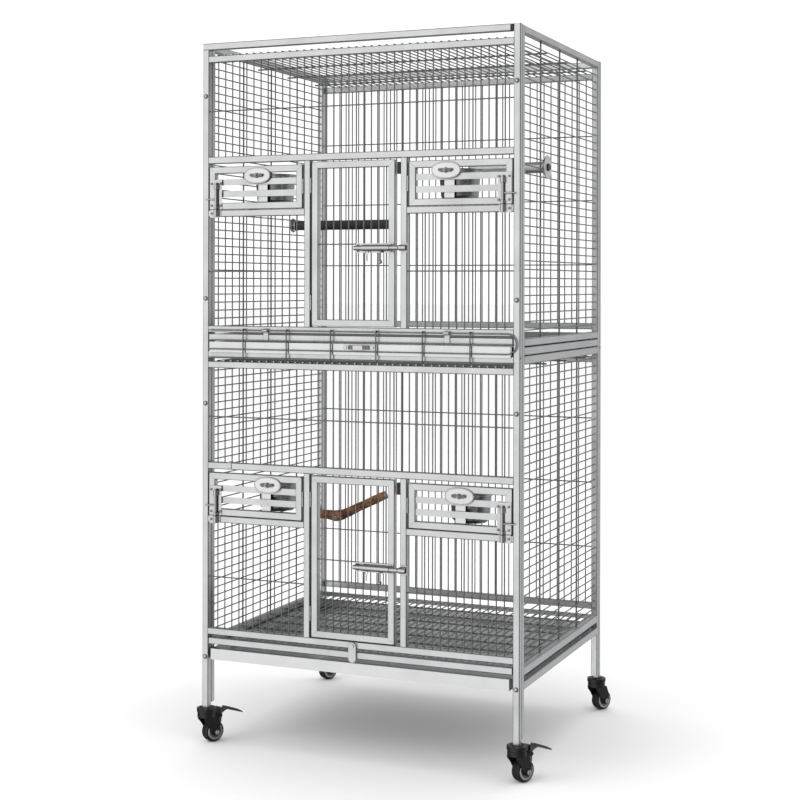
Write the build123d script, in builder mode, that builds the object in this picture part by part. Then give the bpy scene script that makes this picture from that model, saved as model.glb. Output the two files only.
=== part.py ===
from build123d import *
import os

# Two-tier wire cage on casters, with front doors, feeder doors, pull-out grates and trays.
# Millimetres. X runs left to right seen from the front, the front faces -Y, +Z is up.
# The origin is the middle of the cage's footprint, on the floor under the wheels.

# ---- driving dimensions ----------------------------------------------------
W = 800.0            # width over the corner posts
D = 660.0            # depth over the corner posts
T = 16.0             # square tube
TW = 1.2             # tube wall
RC = 2.0             # tube corner radius
PITCH = 19.05        # bar spacing
WIRE = 3.0           # bar and mesh wire diameter
WELD = 0.02          # seam between welded members
LEG_Z = 85.0         # lower end of the legs
JOINT_Z = 940.5      # seam between the two tiers

XI = W / 2 - T       # inner face of the posts
XC = W / 2 - T / 2   # post centre, across
YF = -D / 2          # front face
YFC = -D / 2 + T / 2     # front frame centre plane
YRC = D / 2 - T / 2      # rear frame centre plane
YSF = YFC + T        # front stile of a side panel
YSR = YRC - T        # rear stile of a side panel

MULL = 122.0         # door post centre, each side
MULL_I = MULL - T / 2
MULL_O = MULL + T / 2

DOOR_X0, DOOR_X1 = -110.0, 100.0
FEED_X0, FEED_X1 = 134.7, 382.3

TIERS = {
    "upper": dict(
        foot=JOINT_Z + 0.1, header=(1659.4, 1675.4), rail2=(1629.0, 1645.0), cross=1512.6,
        rail3=(1387.0, 1403.5), rail4=(1260.0, 1276.0), cross_low=1129.5, sill=(984.0, 1000.0),
        door=(1001.5, 1384.0), feeder=(1277.0, 1379.0), latch=1182.4,
        side_top=(1658.4, 1674.4), side_a=(962.0, 979.0), side_b=(942.0, 960.0),
        mesh0=997.0, back_cross=(1151.0, 1317.5, 1484.0), back_sill=(984.0, 1000.0),
        back_foot=(942.0, 958.0), side_foot=941.0,
        grate=965.0, tray=943.4, tray_top=961.0,
    ),
    "lower": dict(
        foot=LEG_Z, header=(924.5, 940.5), rail2=(899.0, 915.0), cross=782.6,
        rail3=(657.5, 674.0), rail4=(530.0, 546.0), cross_low=399.5, sill=(261.0, 277.0),
        door=(278.5, 654.0), feeder=(547.0, 649.0), latch=451.0,
        side_top=(922.0, 940.4), side_a=(231.0, 250.0), side_b=(200.0, 218.0),
        mesh0=267.0, back_cross=(421.0, 587.5, 754.0), back_sill=(261.0, 277.0),
        back_foot=(200.0, 218.0), side_foot=95.0,
        grate=238.0, tray=202.6, tray_top=226.5,
    ),
}
MESH_N = 34          # mesh wires in a side panel
MESH_P = 19.485      # their spacing

CUP_X = {"upper_left": -238.0, "upper_right": 234.0, "lower_left": -228.0, "lower_right": 262.0}
CLAMP_X = {"upper_left": -253.0, "upper_right": 225.0, "lower_left": -224.0, "lower_right": 258.0}

CAST_D = (0.5, 0.8660254)   # direction in which the casters trail
TRAIL = 17.0
WHEEL_R = 25.0

os.makedirs("parts", exist_ok=True)


# ---- tube, wire and plate members, added to the part that is open ------------
def tube_z(points, z0, z1, w=T, d=T):
    with BuildSketch(Plane.XY.offset(z0)) as s:
        with Locations(*points):
            RectangleRounded(w, d, RC)
            RectangleRounded(w - 2 * TW, d - 2 * TW, RC - TW, mode=Mode.SUBTRACT)
    extrude(s.sketch, amount=z1 - z0)


def tube_x(points, x0, x1, h=T, d=T):
    """points are (y, z)"""
    with BuildSketch(Plane.YZ.offset(x0)) as s:
        with Locations(*points):
            RectangleRounded(d, h, RC)
            RectangleRounded(d - 2 * TW, h - 2 * TW, RC - TW, mode=Mode.SUBTRACT)
    extrude(s.sketch, amount=x1 - x0)


def tube_y(points, y0, y1, h=T, w=T):
    """points are (x, z)"""
    with BuildSketch(Plane.XZ.offset(-y1)) as s:
        with Locations(*points):
            RectangleRounded(w, h, RC)
            RectangleRounded(w - 2 * TW, h - 2 * TW, RC - TW, mode=Mode.SUBTRACT)
    extrude(s.sketch, amount=y1 - y0)


def wire_z(points, z0, z1, dia=WIRE, mode=Mode.ADD):
    with BuildSketch(Plane.XY.offset(z0)) as s:
        with Locations(*points):
            Circle(dia / 2)
    extrude(s.sketch, amount=z1 - z0, mode=mode)


def wire_x(points, x0, x1, dia=WIRE, mode=Mode.ADD):
    with BuildSketch(Plane.YZ.offset(x0)) as s:
        with Locations(*points):
            Circle(dia / 2)
    extrude(s.sketch, amount=x1 - x0, mode=mode)


def wire_y(points, y0, y1, dia=WIRE, mode=Mode.ADD):
    with BuildSketch(Plane.XZ.offset(-y1)) as s:
        with Locations(*points):
            Circle(dia / 2)
    extrude(s.sketch, amount=y1 - y0, mode=mode)


def block(x, y, z, mode=Mode.ADD):
    """a plate or block between two limits on each axis"""
    with Locations(((x[0] + x[1]) / 2, (y[0] + y[1]) / 2, (z[0] + z[1]) / 2)):
        Box(abs(x[1] - x[0]), abs(y[1] - y[0]), abs(z[1] - z[0]), mode=mode)


def mid(pair):
    return (pair[0] + pair[1]) / 2


def bars(x_lo, x_hi):
    """bar positions, counted from the middle of the cage"""
    n = int(W / PITCH)
    return [i * PITCH for i in range(-n, n + 1) if x_lo < i * PITCH < x_hi]


def mitred_frame(x0, x1, z0, z1, member=T):
    """a door frame of four hollow members, mitred at the corners"""
    cx, cz = (x0 + x1) / 2, (z0 + z1) / 2
    w, h = x1 - x0, z1 - z0
    with BuildPart(mode=Mode.PRIVATE) as ring:
        with BuildSketch(Plane.XZ.offset(-YFC)) as s:
            with Locations((cx, cz)):
                Rectangle(w, h)
                Rectangle(w - 2 * member, h - 2 * member, mode=Mode.SUBTRACT)
        extrude(s.sketch, amount=T / 2, both=True)
        fillet(ring.edges().filter_by(Axis.Y, reverse=True), radius=1.6)
        with BuildSketch(Plane.XZ.offset(-YFC)) as c:
            with Locations((cx, cz)):
                Rectangle(w - 2 * TW, h - 2 * TW)
                Rectangle(w - 2 * member + 2 * TW, h - 2 * member + 2 * TW, mode=Mode.SUBTRACT)
        extrude(c.sketch, amount=T / 2 - TW, both=True, mode=Mode.SUBTRACT)
        with BuildSketch(Plane.XZ.offset(-YFC)) as k:
            for sx in (-1, 1):
                for sz in (-1, 1):
                    with Locations((cx + sx * (w - member) / 2, cz + sz * (h - member) / 2)):
                        Rectangle(member * 2.2, 0.3, rotation=45 * sx * sz)
        extrude(k.sketch, amount=T, both=True, mode=Mode.SUBTRACT)
    add(ring.part)


def leaf(xf, s, xg, y_edge, zc, r, fixed):
    """one leaf of a butt hinge in the gap between a post and a door.
    xf is the face it lies on, s the side its plate stands off to, xg the pin's place."""
    t = 0.7
    xa, xb = sorted((xf + s * WELD, xf + s * t))
    block((xa, xb), (y_edge + 2.4, y_edge + 13.0), (zc - 17, zc + 17))
    spans = ((zc - 17, zc - 7.2), (zc + 7.2, zc + 17)) if fixed else ((zc - 6.9, zc + 6.9),)
    for a, b in spans:
        block((xa, xb), (y_edge, y_edge + 2.5), (a, b))
        wire_z([(xg, y_edge)], a, b, dia=2 * r)
    if fixed:
        wire_z([(xg, y_edge)], zc - 18, zc + 18, dia=1.7)
    else:
        wire_z([(xg, y_edge)], zc - 8, zc + 8, dia=1.9, mode=Mode.SUBTRACT)


HINGE_Y = YF - 0.2
DOOR_PIN_X = (-MULL_I + DOOR_X0) / 2
FEED_PIN_X = (MULL_O + FEED_X0) / 2


# ============================ fixed panels ==================================
for tier, q in TIERS.items():
    up = tier == "upper"

    # front panel: posts, rails, door posts and bars
    with BuildPart() as front_panel:
        if up:
            tube_z([(-XC, YFC)], q["foot"], q["header"][0] - WELD)
            tube_z([(XC, YFC)], q["foot"], q["header"][1])
            tube_x([(YFC, mid(q["header"]))], -W / 2, XI - 8.0)
        else:
            tube_z([(-XC, YFC), (XC, YFC)], q["foot"], JOINT_Z)
            tube_x([(YFC, mid(q["header"]))], -XI + WELD, XI - WELD)
        tube_x([(YFC, mid(q["rail2"])), (YFC, mid(q["sill"]))], -XI + WELD, XI - WELD)
        tube_x([(YFC, mid(q["rail3"]))], -XI + WELD, XI - WELD, h=q["rail3"][1] - q["rail3"][0])
        tube_x([(YFC, mid(q["rail4"]))], -XI + WELD, -MULL_O - WELD)
        tube_x([(YFC, mid(q["rail4"]))], MULL_O + WELD, XI - WELD)
        tube_z([(-MULL, YFC), (MULL, YFC)], q["sill"][1] + WELD, q["rail3"][0] - WELD)
        wire_z([(x, YFC) for x in bars(-XI + 8, XI - 8)], q["rail3"][1] + WELD, q["rail2"][0] - WELD)
        low = [x for x in bars(-XI + 8, XI - 8) if abs(x) > MULL_O + 6]
        wire_z([(x, YFC) for x in low], q["sill"][1] + WELD, q["rail4"][0] - WELD)
        wire_x([(YFC - WIRE - 0.05, q["cross"])], -XI + WELD, XI - WELD)
        wire_x([(YFC - WIRE - 0.05, q["cross_low"])], -XI + WELD, -MULL_O - WELD)
        wire_x([(YFC - WIRE - 0.05, q["cross_low"])], MULL_O + WELD, XI - WELD)
    front_panel.part.label = f"{tier}_front_panel"
    export_step(front_panel.part, f"parts/{tier}_front_panel.step")

    # back panel: posts, rails, bars and three cross wires
    with BuildPart() as back_panel:
        top = q["header"][1] if up else JOINT_Z
        tube_z([(-XC, YRC), (XC, YRC)], q["foot"], top)
        tube_x([(YRC, mid(q[k])) for k in ("header", "rail2", "back_sill")], -XI + WELD, XI - WELD)
        tube_x([(YRC, mid(q["back_foot"]))], -XI + WELD, XI - WELD)
        wire_z([(x, YRC) for x in bars(-XI + 8, XI - 8)], q["back_sill"][1] + WELD, q["rail2"][0] - WELD)
        wire_x([(YRC + WIRE + 0.05, z) for z in q["back_cross"]], -XI + WELD, XI - WELD)
    back_panel.part.label = f"{tier}_back_panel"
    export_step(back_panel.part, f"parts/{tier}_back_panel.step")

    # side panels: stiles, rails, mesh wires, stiffener rods and the two runners
    for side, sx in (("left", -1), ("right", 1)):
        with BuildPart() as side_panel:
            tube_z([(sx * XC, YSF), (sx * XC, YSR)], q["side_foot"], q["side_top"][1])
            y0, y1 = YSF + T / 2 + WELD, YSR - T / 2 - WELD
            for k in ("side_top", "side_a", "side_b"):
                tube_y([(sx * XC, mid(q[k]))], y0, y1, h=q[k][1] - q[k][0])
            zs = [q["mesh0"] + i * MESH_P for i in range(MESH_N)]
            zs = [z for z in zs if z < q["side_top"][0] - 3]
            wire_y([(sx * XC, z) for z in zs], y0, y1)
            rods = [(sx * (XC - WIRE / 2 - 2.1), y) for y in (-149.0, 0.0, 149.0)]
            wire_z(rods, q["side_a"][1] + WELD, q["side_top"][0] - WELD, dia=4.0)
            xa, xb = sorted((sx * 370.0, sx * (XI - WELD)))
            block((xa, xb), (YSF + T / 2 + 1, YSR - 10), (q["side_b"][0] + 0.1, q["side_b"][0] + 1.1))
            block((xa, xb), (YSF + T / 2 + 1, YSR - 10), (q["side_a"][0] + 0.6, q["side_a"][0] + 1.8))
        side_panel.part.label = f"{tier}_{side}_side_panel"
        export_step(side_panel.part, f"parts/{tier}_{side}_side_panel.step")

    # roof of bars laid on the second rails, on four cross rods
    with BuildPart() as roof_panel:
        zr = q["rail2"][1] + WIRE / 2 + 0.1
        wire_y([(x, zr) for x in bars(-XI + 8, XI - 8)], YF + 1, -YF - 1)
        wire_x([(y, zr - WIRE / 2 - 2.05) for y in (-247.5, -82.5, 82.5, 247.5)], -XI + 1, XI - 1, dia=4.0)
    roof_panel.part.label = f"{tier}_roof"
    export_step(roof_panel.part, f"parts/{tier}_roof.step")

    # ======================== floor grate and tray ==========================
    gz = q["grate"]
    with BuildPart() as grate:
        tube_x([(YFC, gz + T / 2)], -382.0, 382.0)
        for sx in (-1, 1):
            xa, xb = sorted((sx * 379.0, sx * 382.0))
            block((xa, xb), (YFC + T / 2 + WELD, 308.0), (gz - 0.8, gz + 11.2))
        block((-379.0 + WELD, 379.0 - WELD), (305.0, 308.0), (gz - 0.8, gz + 11.2))
        wire_y([(x, gz + 9.6) for x in bars(-376, 376)], YFC + T / 2 + WELD, 305.0 - WELD)
        wire_x([(77.0 * i, gz + 9.6 - WIRE / 2 - 2.05) for i in range(-3, 4)],
               -379.0 + WELD, 379.0 - WELD, dia=4.0)
        if up:
            # two clips that carry the wire guard's top wire
            for cx in (-228.6, 228.6):
                block((cx - 6, cx + 6), (YF - 2.4, YF - WELD), (gz + 1, gz + 15))
                block((cx - 6, cx + 6), (YF - 2.4, YF - 0.8), (gz + 14, 990.0))
                wire_x([(YF - 6.0, 990.0)], cx - 6, cx + 6, dia=8.0)
                block((cx - 6, cx + 6), (YF - 5.0, YF - 0.8), (987.0, 993.0))
                wire_x([(YF - 6.0, 990.0)], cx - 7, cx + 7, dia=3.3, mode=Mode.SUBTRACT)
        else:
            # bracket that carries the turn tab, standing in front of the sill
            block((-13, 7), (YF - 2.4, YF - WELD), (gz + 1, gz + 15))
            block((-13, 7), (YF - 2.4, YF - 0.8), (gz + 14, 274.0))
            wire_y([(-3.0, 267.7)], YF - 7.2, YF - 2.0, dia=3.8)
            wire_y([(-3.0, 267.7)], YF - 7.2, YF - 5.3, dia=9.0)
    grate.part.label = f"{tier}_grate"
    export_step(grate.part, f"parts/{tier}_grate.step")

    tz, tt = q["tray"], q["tray_top"]
    with BuildPart() as tray:
        yb = 306.0
        y_front = YF - 1.5 if up else YF + 14.0
        block((-381.0, 381.0), (y_front, yb), (tz, tt))
        block((-380.0, 380.0), (y_front + 1, yb - 1), (tz + 1, tt + 5), mode=Mode.SUBTRACT)
        if up:
            block((-379.0, 379.0), (YF - 3.5, YF - 1.5), (937.0, 962.0))
        else:
            block((-376.0, 376.0), (YF - 1.0, YF + 14.5), (202.0, 228.0))
            block((-374.6, 374.6), (YF + 0.4, YF + 13.0), (203.4, 226.6), mode=Mode.SUBTRACT)
    tray.part.label = f"{tier}_tray"
    export_step(tray.part, f"parts/{tier}_tray.step")

    # ============================ main door =================================
    dz0, dz1 = q["door"]
    with BuildPart() as door:
        mitred_frame(DOOR_X0, DOOR_X1, dz0, dz1)
        wire_z([(x, YFC) for x in bars(DOOR_X0 + T + 4, DOOR_X1 - T - 4)], dz0 + T + WELD, dz1 - T - WELD)
        wire_x([(YFC - WIRE - 0.05, q["latch"] + 9.5)], DOOR_X0 + T + WELD, DOOR_X1 - T - WELD)
    door.part.label = f"{tier}_door"
    export_step(door.part, f"parts/{tier}_door.step")

    lz = q["latch"]
    yb = YF - 1.5 - 7.0      # axis of the barrel bolt
    with BuildPart() as door_hardware:
        block((4.0, 97.0), (YF - 1.5, YF - WELD), (lz - 11, lz + 11))
        wire_x([(yb, lz)], 22.0, 91.0, dia=14.0)
        wire_x([(yb, lz)], 21.0, 92.0, dia=11.4, mode=Mode.SUBTRACT)
        block((64.5, 89.5), (yb - 2.6, yb + 2.6), (lz - 9, lz), mode=Mode.SUBTRACT)
        wire_y([(92.5, lz + 6.5), (92.5, lz - 6.5)], YF - 3.2, YF - 1.4, dia=5.0)
        for zc in (dz0 + 55.0, dz1 - 55.0):
            leaf(DOOR_X0, -1, DOOR_PIN_X, HINGE_Y, zc, 1.8, fixed=False)
    door_hardware.part.label = f"{tier}_door_hardware"
    export_step(door_hardware.part, f"parts/{tier}_door_hardware.step")

    with BuildPart() as door_bolt:
        wire_x([(yb, lz)], 2.0, 113.0, dia=11.0)
        wire_z([(68.0, yb)], lz - 30.0, lz, dia=4.0)
        with Locations((68.0, yb, lz - 32.0)):
            Sphere(4.5)
        chamfer(door_bolt.faces().sort_by(Axis.X)[-1].edges(), 1.0)
    door_bolt.part.label = f"{tier}_door_bolt"
    export_step(door_bolt.part, f"parts/{tier}_door_bolt.step")

    # ========================== feeder doors ================================
    fz0, fz1 = q["feeder"]
    for side, sx in (("left", -1), ("right", 1)):
        key = f"{tier}_{side}"
        xa, xb = sorted((sx * FEED_X0, sx * FEED_X1))
        with BuildPart() as feeder_door:
            mitred_frame(xa, xb, fz0, fz1)
            for zc in (fz0 + 37.0, fz0 + 65.0):
                block((xa + T + WELD, xb - T - WELD), (YF + 2.5, YF + 4.5), (zc - 7.3, zc + 7.3))
        feeder_door.part.label = f"{key}_feeder_door"
        export_step(feeder_door.part, f"parts/{key}_feeder_door.step")

        bx = sx * 361.0
        ybf = YF - 1.5 - 4.5
        cx, cy = CUP_X[key], YF + 64.0
        px, pz = CLAMP_X[key], fz0 + 79.0
        rz0 = fz0 + 75.0
        with BuildPart() as feeder_hardware:
            # barrel bolt plate, its guide bands and screws
            pa, pb = sorted((sx * 347.5, sx * 380.0))
            block((pa, pb), (YF - 1.5, YF - WELD), (fz0 + 1, fz0 + 71))
            for z0, z1 in ((fz0 + 2.0, fz0 + 8.0), (fz0 + 48.0, fz0 + 60.0)):
                wire_z([(bx, ybf)], z0, z1, dia=11.0)
                block((bx - 5.5, bx + 5.5), (ybf, YF - 1.4), (z0, z1))
            wire_z([(bx, ybf)], fz0, fz0 + 72, dia=7.6, mode=Mode.SUBTRACT)
            for ox in (-10.5, 14.0):
                wire_y([(bx + sx * ox, fz0 + 10.0), (bx + sx * ox, fz0 + 62.0)], YF - 3.3, YF - 1.4, dia=5.0)
            # hinge leaf
            leaf(sx * FEED_X0, -sx, sx * FEED_PIN_X, HINGE_Y, fz0 + 51.0, 2.0, fixed=False)
            # clamp plate outside the slats, its screw and wing nut
            with BuildSketch(Plane.XZ.offset(-(YF - WELD))) as plate:
                with Locations((px, pz)):
                    Ellipse(33.0, 17.0)
            extrude(plate.sketch, amount=1.6)
            wire_y([(px, pz)], YF - 12.0, YF + 9.0, dia=5.0)
            wire_y([(px, pz)], YF - 9.0, YF - 1.5, dia=9.0)
            block((px - 13.0, px + 13.0), (YF - 7.5, YF - 5.5), (pz - 3.2, pz + 3.2))
            # inner clamp plate, arm and cup ring
            block((px - 12, px + 12), (YF + 4.6, YF + 6.2), (pz - 14, pz + 7))
            block((min(px, cx) - 7, max(px, cx) + 7), (YF + 6.1, YF + 17.0), (rz0, rz0 + 7.0))
            with BuildSketch(Plane.XY.offset(rz0)) as ring:
                with Locations((cx, cy)):
                    Circle(50.5)
            extrude(ring.sketch, amount=7.0)
            with BuildSketch(Plane.XY.offset(rz0 - 1)) as hole:
                with Locations((cx, cy)):
                    Circle(48.3)
            extrude(hole.sketch, amount=9.0, mode=Mode.SUBTRACT)
        feeder_hardware.part.label = f"{key}_feeder_hardware"
        export_step(feeder_hardware.part, f"parts/{key}_feeder_hardware.step")

        with BuildPart() as feeder_cup:
            with BuildSketch(Plane.XZ.offset(-cy)) as profile:
                with BuildLine():
                    Polyline(
                        (cx, fz0 + 14.0), (cx + 36.0, fz0 + 14.0), (cx + 43.0, fz0 + 22.0), (cx + 47.8, rz0 + 7.2),
                        (cx + 52.0, rz0 + 7.2), (cx + 52.0, rz0 + 8.6), (cx + 46.8, rz0 + 8.6),
                        (cx + 42.0, fz0 + 22.6), (cx + 35.4, fz0 + 15.2), (cx, fz0 + 15.2), close=True,
                    )
                make_face()
            revolve(profile.sketch, axis=Axis((cx, cy, 0), (0, 0, 1)))
        feeder_cup.part.label = f"{key}_feeder_cup"
        export_step(feeder_cup.part, f"parts/{key}_feeder_cup.step")

        with BuildPart() as feeder_bolt:
            wire_z([(bx, ybf)], fz0 + 0.2, fz0 + 64.0, dia=7.0)
            la, lb = sorted((bx, sx * 389.0))
            wire_x([(ybf, fz0 + 24.5)], la, lb, dia=3.4)
        feeder_bolt.part.label = f"{key}_feeder_bolt"
        export_step(feeder_bolt.part, f"parts/{key}_feeder_bolt.step")

# ===================== hinge leaves and keepers on the frame ==================
with BuildPart() as frame_hinges:
    for tier, q in TIERS.items():
        dz0, dz1 = q["door"]
        for zc in (dz0 + 55.0, dz1 - 55.0):
            leaf(-MULL_I, 1, DOOR_PIN_X, HINGE_Y, zc, 1.8, fixed=True)
        for sx in (-1, 1):
            leaf(sx * MULL_O, sx, sx * FEED_PIN_X, HINGE_Y, q["feeder"][0] + 51.0, 2.0, fixed=True)
frame_hinges.part.label = "frame_hinges"
export_step(frame_hinges.part, "parts/frame_hinges.step")

with BuildPart() as bolt_keepers:
    for tier, q in TIERS.items():
        lz = q["latch"]
        yb = YF - 8.5
        block((114.3, 131.0), (YF - 1.5, YF - WELD), (lz - 10.5, lz + 10.5))
        wire_x([(yb, lz)], 114.3, 131.0, dia=14.0)
        wire_x([(yb, lz)], 113.0, 132.0, dia=12.0, mode=Mode.SUBTRACT)
        for sx in (-1, 1):
            bx, ybf = sx * 361.0, YF - 6.0
            z0, z1 = q["rail4"][0], q["rail4"][1] + 0.3
            block((bx - 10.0, bx + 19.0) if sx > 0 else (bx - 19.0, bx + 10.0), (YF - 1.5, YF - WELD), (z0 - 2, z1))
            wire_z([(bx, ybf)], z0, z1, dia=11.0)
            block((bx - 5.5, bx + 5.5), (ybf, YF - 1.4), (z0, z1))
            wire_z([(bx, ybf)], z0 - 3, z1 + 3, dia=8.2, mode=Mode.SUBTRACT)
            wire_y([(bx + sx * 14.0, z0 + 8.0)], YF - 3.3, YF - 1.4, dia=5.0)
bolt_keepers.part.label = "bolt_keepers"
export_step(bolt_keepers.part, "parts/bolt_keepers.step")

# ============================== tray handle ==================================
with BuildPart() as tray_handle:
    y0 = YF - 3.5 - WELD
    with BuildSketch(Plane.XY.offset(950.0)) as ribbon:
        with BuildLine():
            Polyline(
                (-26.0, y0), (-13.0, y0), (-10.0, y0 - 2.0), (2.0, y0 - 9.0), (25.0, y0 - 9.0), (37.0, y0 - 2.0),
                (40.0, y0), (53.0, y0), (53.0, y0 - 1.6), (40.8, y0 - 1.6), (37.6, y0 - 3.8), (25.4, y0 - 10.6),
                (1.6, y0 - 10.6), (-10.6, y0 - 3.8), (-13.8, y0 - 1.6), (-26.0, y0 - 1.6), close=True,
            )
        make_face()
    extrude(ribbon.sketch, amount=9.0)
    wire_y([(-20.0, 954.5), (47.0, 954.5)], y0 - 3.6, y0 - 1.5, dia=6.0)
tray_handle.part.label = "tray_handle"
export_step(tray_handle.part, "parts/tray_handle.step")

# =============================== wire guard ==================================
GY = YF - 6.0
with BuildPart() as wire_guard:
    wire_z([(x, GY - WIRE - 0.05) for x in (-285.75, -171.45, -57.15, 57.15, 171.45, 285.75)], 922.5, 992.0)
    # top wire and third wire, joined by a half ring at the right end
    wire_x([(GY, 990.0), (GY, 945.0)], -380.0, 370.8)
    with BuildSketch(Plane.YZ.offset(370.8)) as sec:
        with Locations((GY, 990.0)):
            Circle(WIRE / 2)
    revolve(sec.sketch, axis=Axis((370.8, GY, 967.5), (0, 1, 0)), revolution_arc=180)
    wire_x([(GY, 966.0), (GY, 924.0)], -380.0, 385.0)
wire_guard.part.label = "wire_guard"
export_step(wire_guard.part, "parts/wire_guard.step")

# ================================ turn tab ===================================
with BuildPart() as turn_tab:
    with BuildSketch(Plane.XZ.offset(-(YF - 2.9))) as t:
        with Locations((-3.0, 252.9)):
            SlotOverall(46.5, 19.0, rotation=90)
        with Locations((-3.0, 267.7)):
            Circle(2.1, mode=Mode.SUBTRACT)
    extrude(t.sketch, amount=2.0)
    fillet(turn_tab.faces().sort_by(Axis.Y)[0].edges().filter_by(GeomType.LINE), radius=0.5)
turn_tab.part.label = "turn_tab"
export_step(turn_tab.part, "parts/turn_tab.step")

# ================================ perches ====================================
with BuildPart() as dowel_perch:
    wire_x([(141.0, 1256.0)], -384.6, -102.0, dia=25.0)
    chamfer(dowel_perch.faces().sort_by(Axis.X)[-1].edges(), 1.5)
dowel_perch.part.label = "dowel_perch"
export_step(dowel_perch.part, "parts/dowel_perch.step")

with BuildPart() as bar_perch:
    wire_x([(-115.0, 1372.5)], 205.0, 385.6, dia=26.0)
    chamfer(bar_perch.faces().sort_by(Axis.X)[0].edges(), 1.5)
bar_perch.part.label = "bar_perch"
export_step(bar_perch.part, "parts/bar_perch.step")

BR = [(-386.5, 275.0, 468.0), (-318.0, 275.0, 466.0), (-180.5, 275.0, 532.0)]
with BuildPart() as branch_perch:
    for a, b, ra, rb in ((BR[0], BR[1], 11.5, 15.0), (BR[1], BR[2], 15.0, 11.3)):
        va, vb = Vector(*a), Vector(*b)
        axis = (vb - va).normalized()
        with BuildSketch(Plane(origin=va, z_dir=axis)) as s0:
            Circle(ra)
        with BuildSketch(Plane(origin=vb, z_dir=axis)) as s1:
            Circle(rb)
        loft([s0.sketch.face(), s1.sketch.face()])
    with Locations(BR[1]):
        Sphere(15.6)
    split(bisect_by=Plane(origin=(-386.4, 275, 468), z_dir=(1, 0, 0)), keep=Keep.TOP)
branch_perch.part.label = "branch_perch"
export_step(branch_perch.part, "parts/branch_perch.step")

with BuildPart() as perch_fittings:
    for sx, y, z, ri, ro, x_in in (
        (-1, 141.0, 1256.6, 15.0, 19.0, 384.7),
        (1, -115.0, 1372.5, 17.0, 28.0, 385.8),
        (-1, 275.0, 471.6, 12.0, 17.0, 386.6),
    ):
        # inner washer, stud through the mesh, outer disc and nut
        for (a, b, r) in ((x_in, x_in + 1.5, ri), (x_in + 1.4, 404.0, 2.5), (394.2, 396.0, ro), (395.9, 401.0, 6.5)):
            xa, xb = sorted((sx * a, sx * b))
            wire_x([(y, z)], xa, xb, dia=2 * r)
perch_fittings.part.label = "perch_fittings"
export_step(perch_fittings.part, "parts/perch_fittings.step")

# ====================== bolts, stacking pins, plugs ==========================
with BuildPart() as assembly_bolts:
    # one low domed head, built up from tapered rings
    with BuildPart(mode=Mode.PRIVATE) as dome:
        for y, r, h, slope in ((YF - WELD, 5.8, 1.4, 18.0), (YF - WELD - 1.4, 5.34, 1.4, 45.0), (YF - WELD - 2.8, 3.92, 1.1, 60.0)):
            with BuildSketch(Plane.XZ.offset(-y)) as step:
                RegularPolygon(r, 24)
            extrude(step.sketch, amount=h, taper=slope)
    head = dome.part
    for z in (1549.0, 1065.0, 814.0, 207.0):
        for sx in (-1, 1):
            with Locations(Location((sx * XC, 0, z))):
                add(head)
            with Locations(Location((sx * XC, 0, z), (0, 0, 180))):
                add(head)
assembly_bolts.part.label = "assembly_bolts"
export_step(assembly_bolts.part, "parts/assembly_bolts.step")

with BuildPart() as stacking_pins:
    wire_z([(sx * XC, y) for sx in (-1, 1) for y in (YFC, YRC)], JOINT_Z - 18, JOINT_Z + 18, dia=11.0)
stacking_pins.part.label = "stacking_pins"
export_step(stacking_pins.part, "parts/stacking_pins.step")

with BuildPart() as black_plugs:
    z0, z1 = TIERS["upper"]["header"]
    block((XI - 8.0 + WELD, XI - WELD), (YF + 0.6, YF + T - 0.6), (z0 + 0.6, z1 - 0.6))
    for q in TIERS.values():
        block((105.0, MULL_I - WELD), (YF + 3.0, YF + 13.0), (q["door"][1] - 33.0, q["door"][1] - 6.0))
    for sx in (-1, 1):
        block((sx * XC - 6.5, sx * XC + 6.5), (270.0, 292.0), (940.5, 941.9))
black_plugs.part.label = "black_plugs"
export_step(black_plugs.part, "parts/black_plugs.step")

# =============================== casters =====================================
CORNERS = {
    "front_left": (-XC, YFC), "front_right": (XC, YFC),
    "rear_left": (-XC, YRC), "rear_right": (XC, YRC),
}
dx, dy = CAST_D

with BuildPart() as caster_stems:
    for sxy in CORNERS.values():
        # stem, and the plug that holds it in the leg
        wire_z([sxy], 62.0, 118.0, dia=10.0)
        with BuildSketch(Plane.XY.offset(LEG_Z + 0.5)) as plug:
            with Locations(sxy):
                RectangleRounded(T - 2 * TW - 0.3, T - 2 * TW - 0.3, 1.5)
                Circle(5.1, mode=Mode.SUBTRACT)
        extrude(plug.sketch, amount=22.0)
caster_stems.part.label = "caster_stems"
export_step(caster_stems.part, "parts/caster_stems.step")

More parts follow.
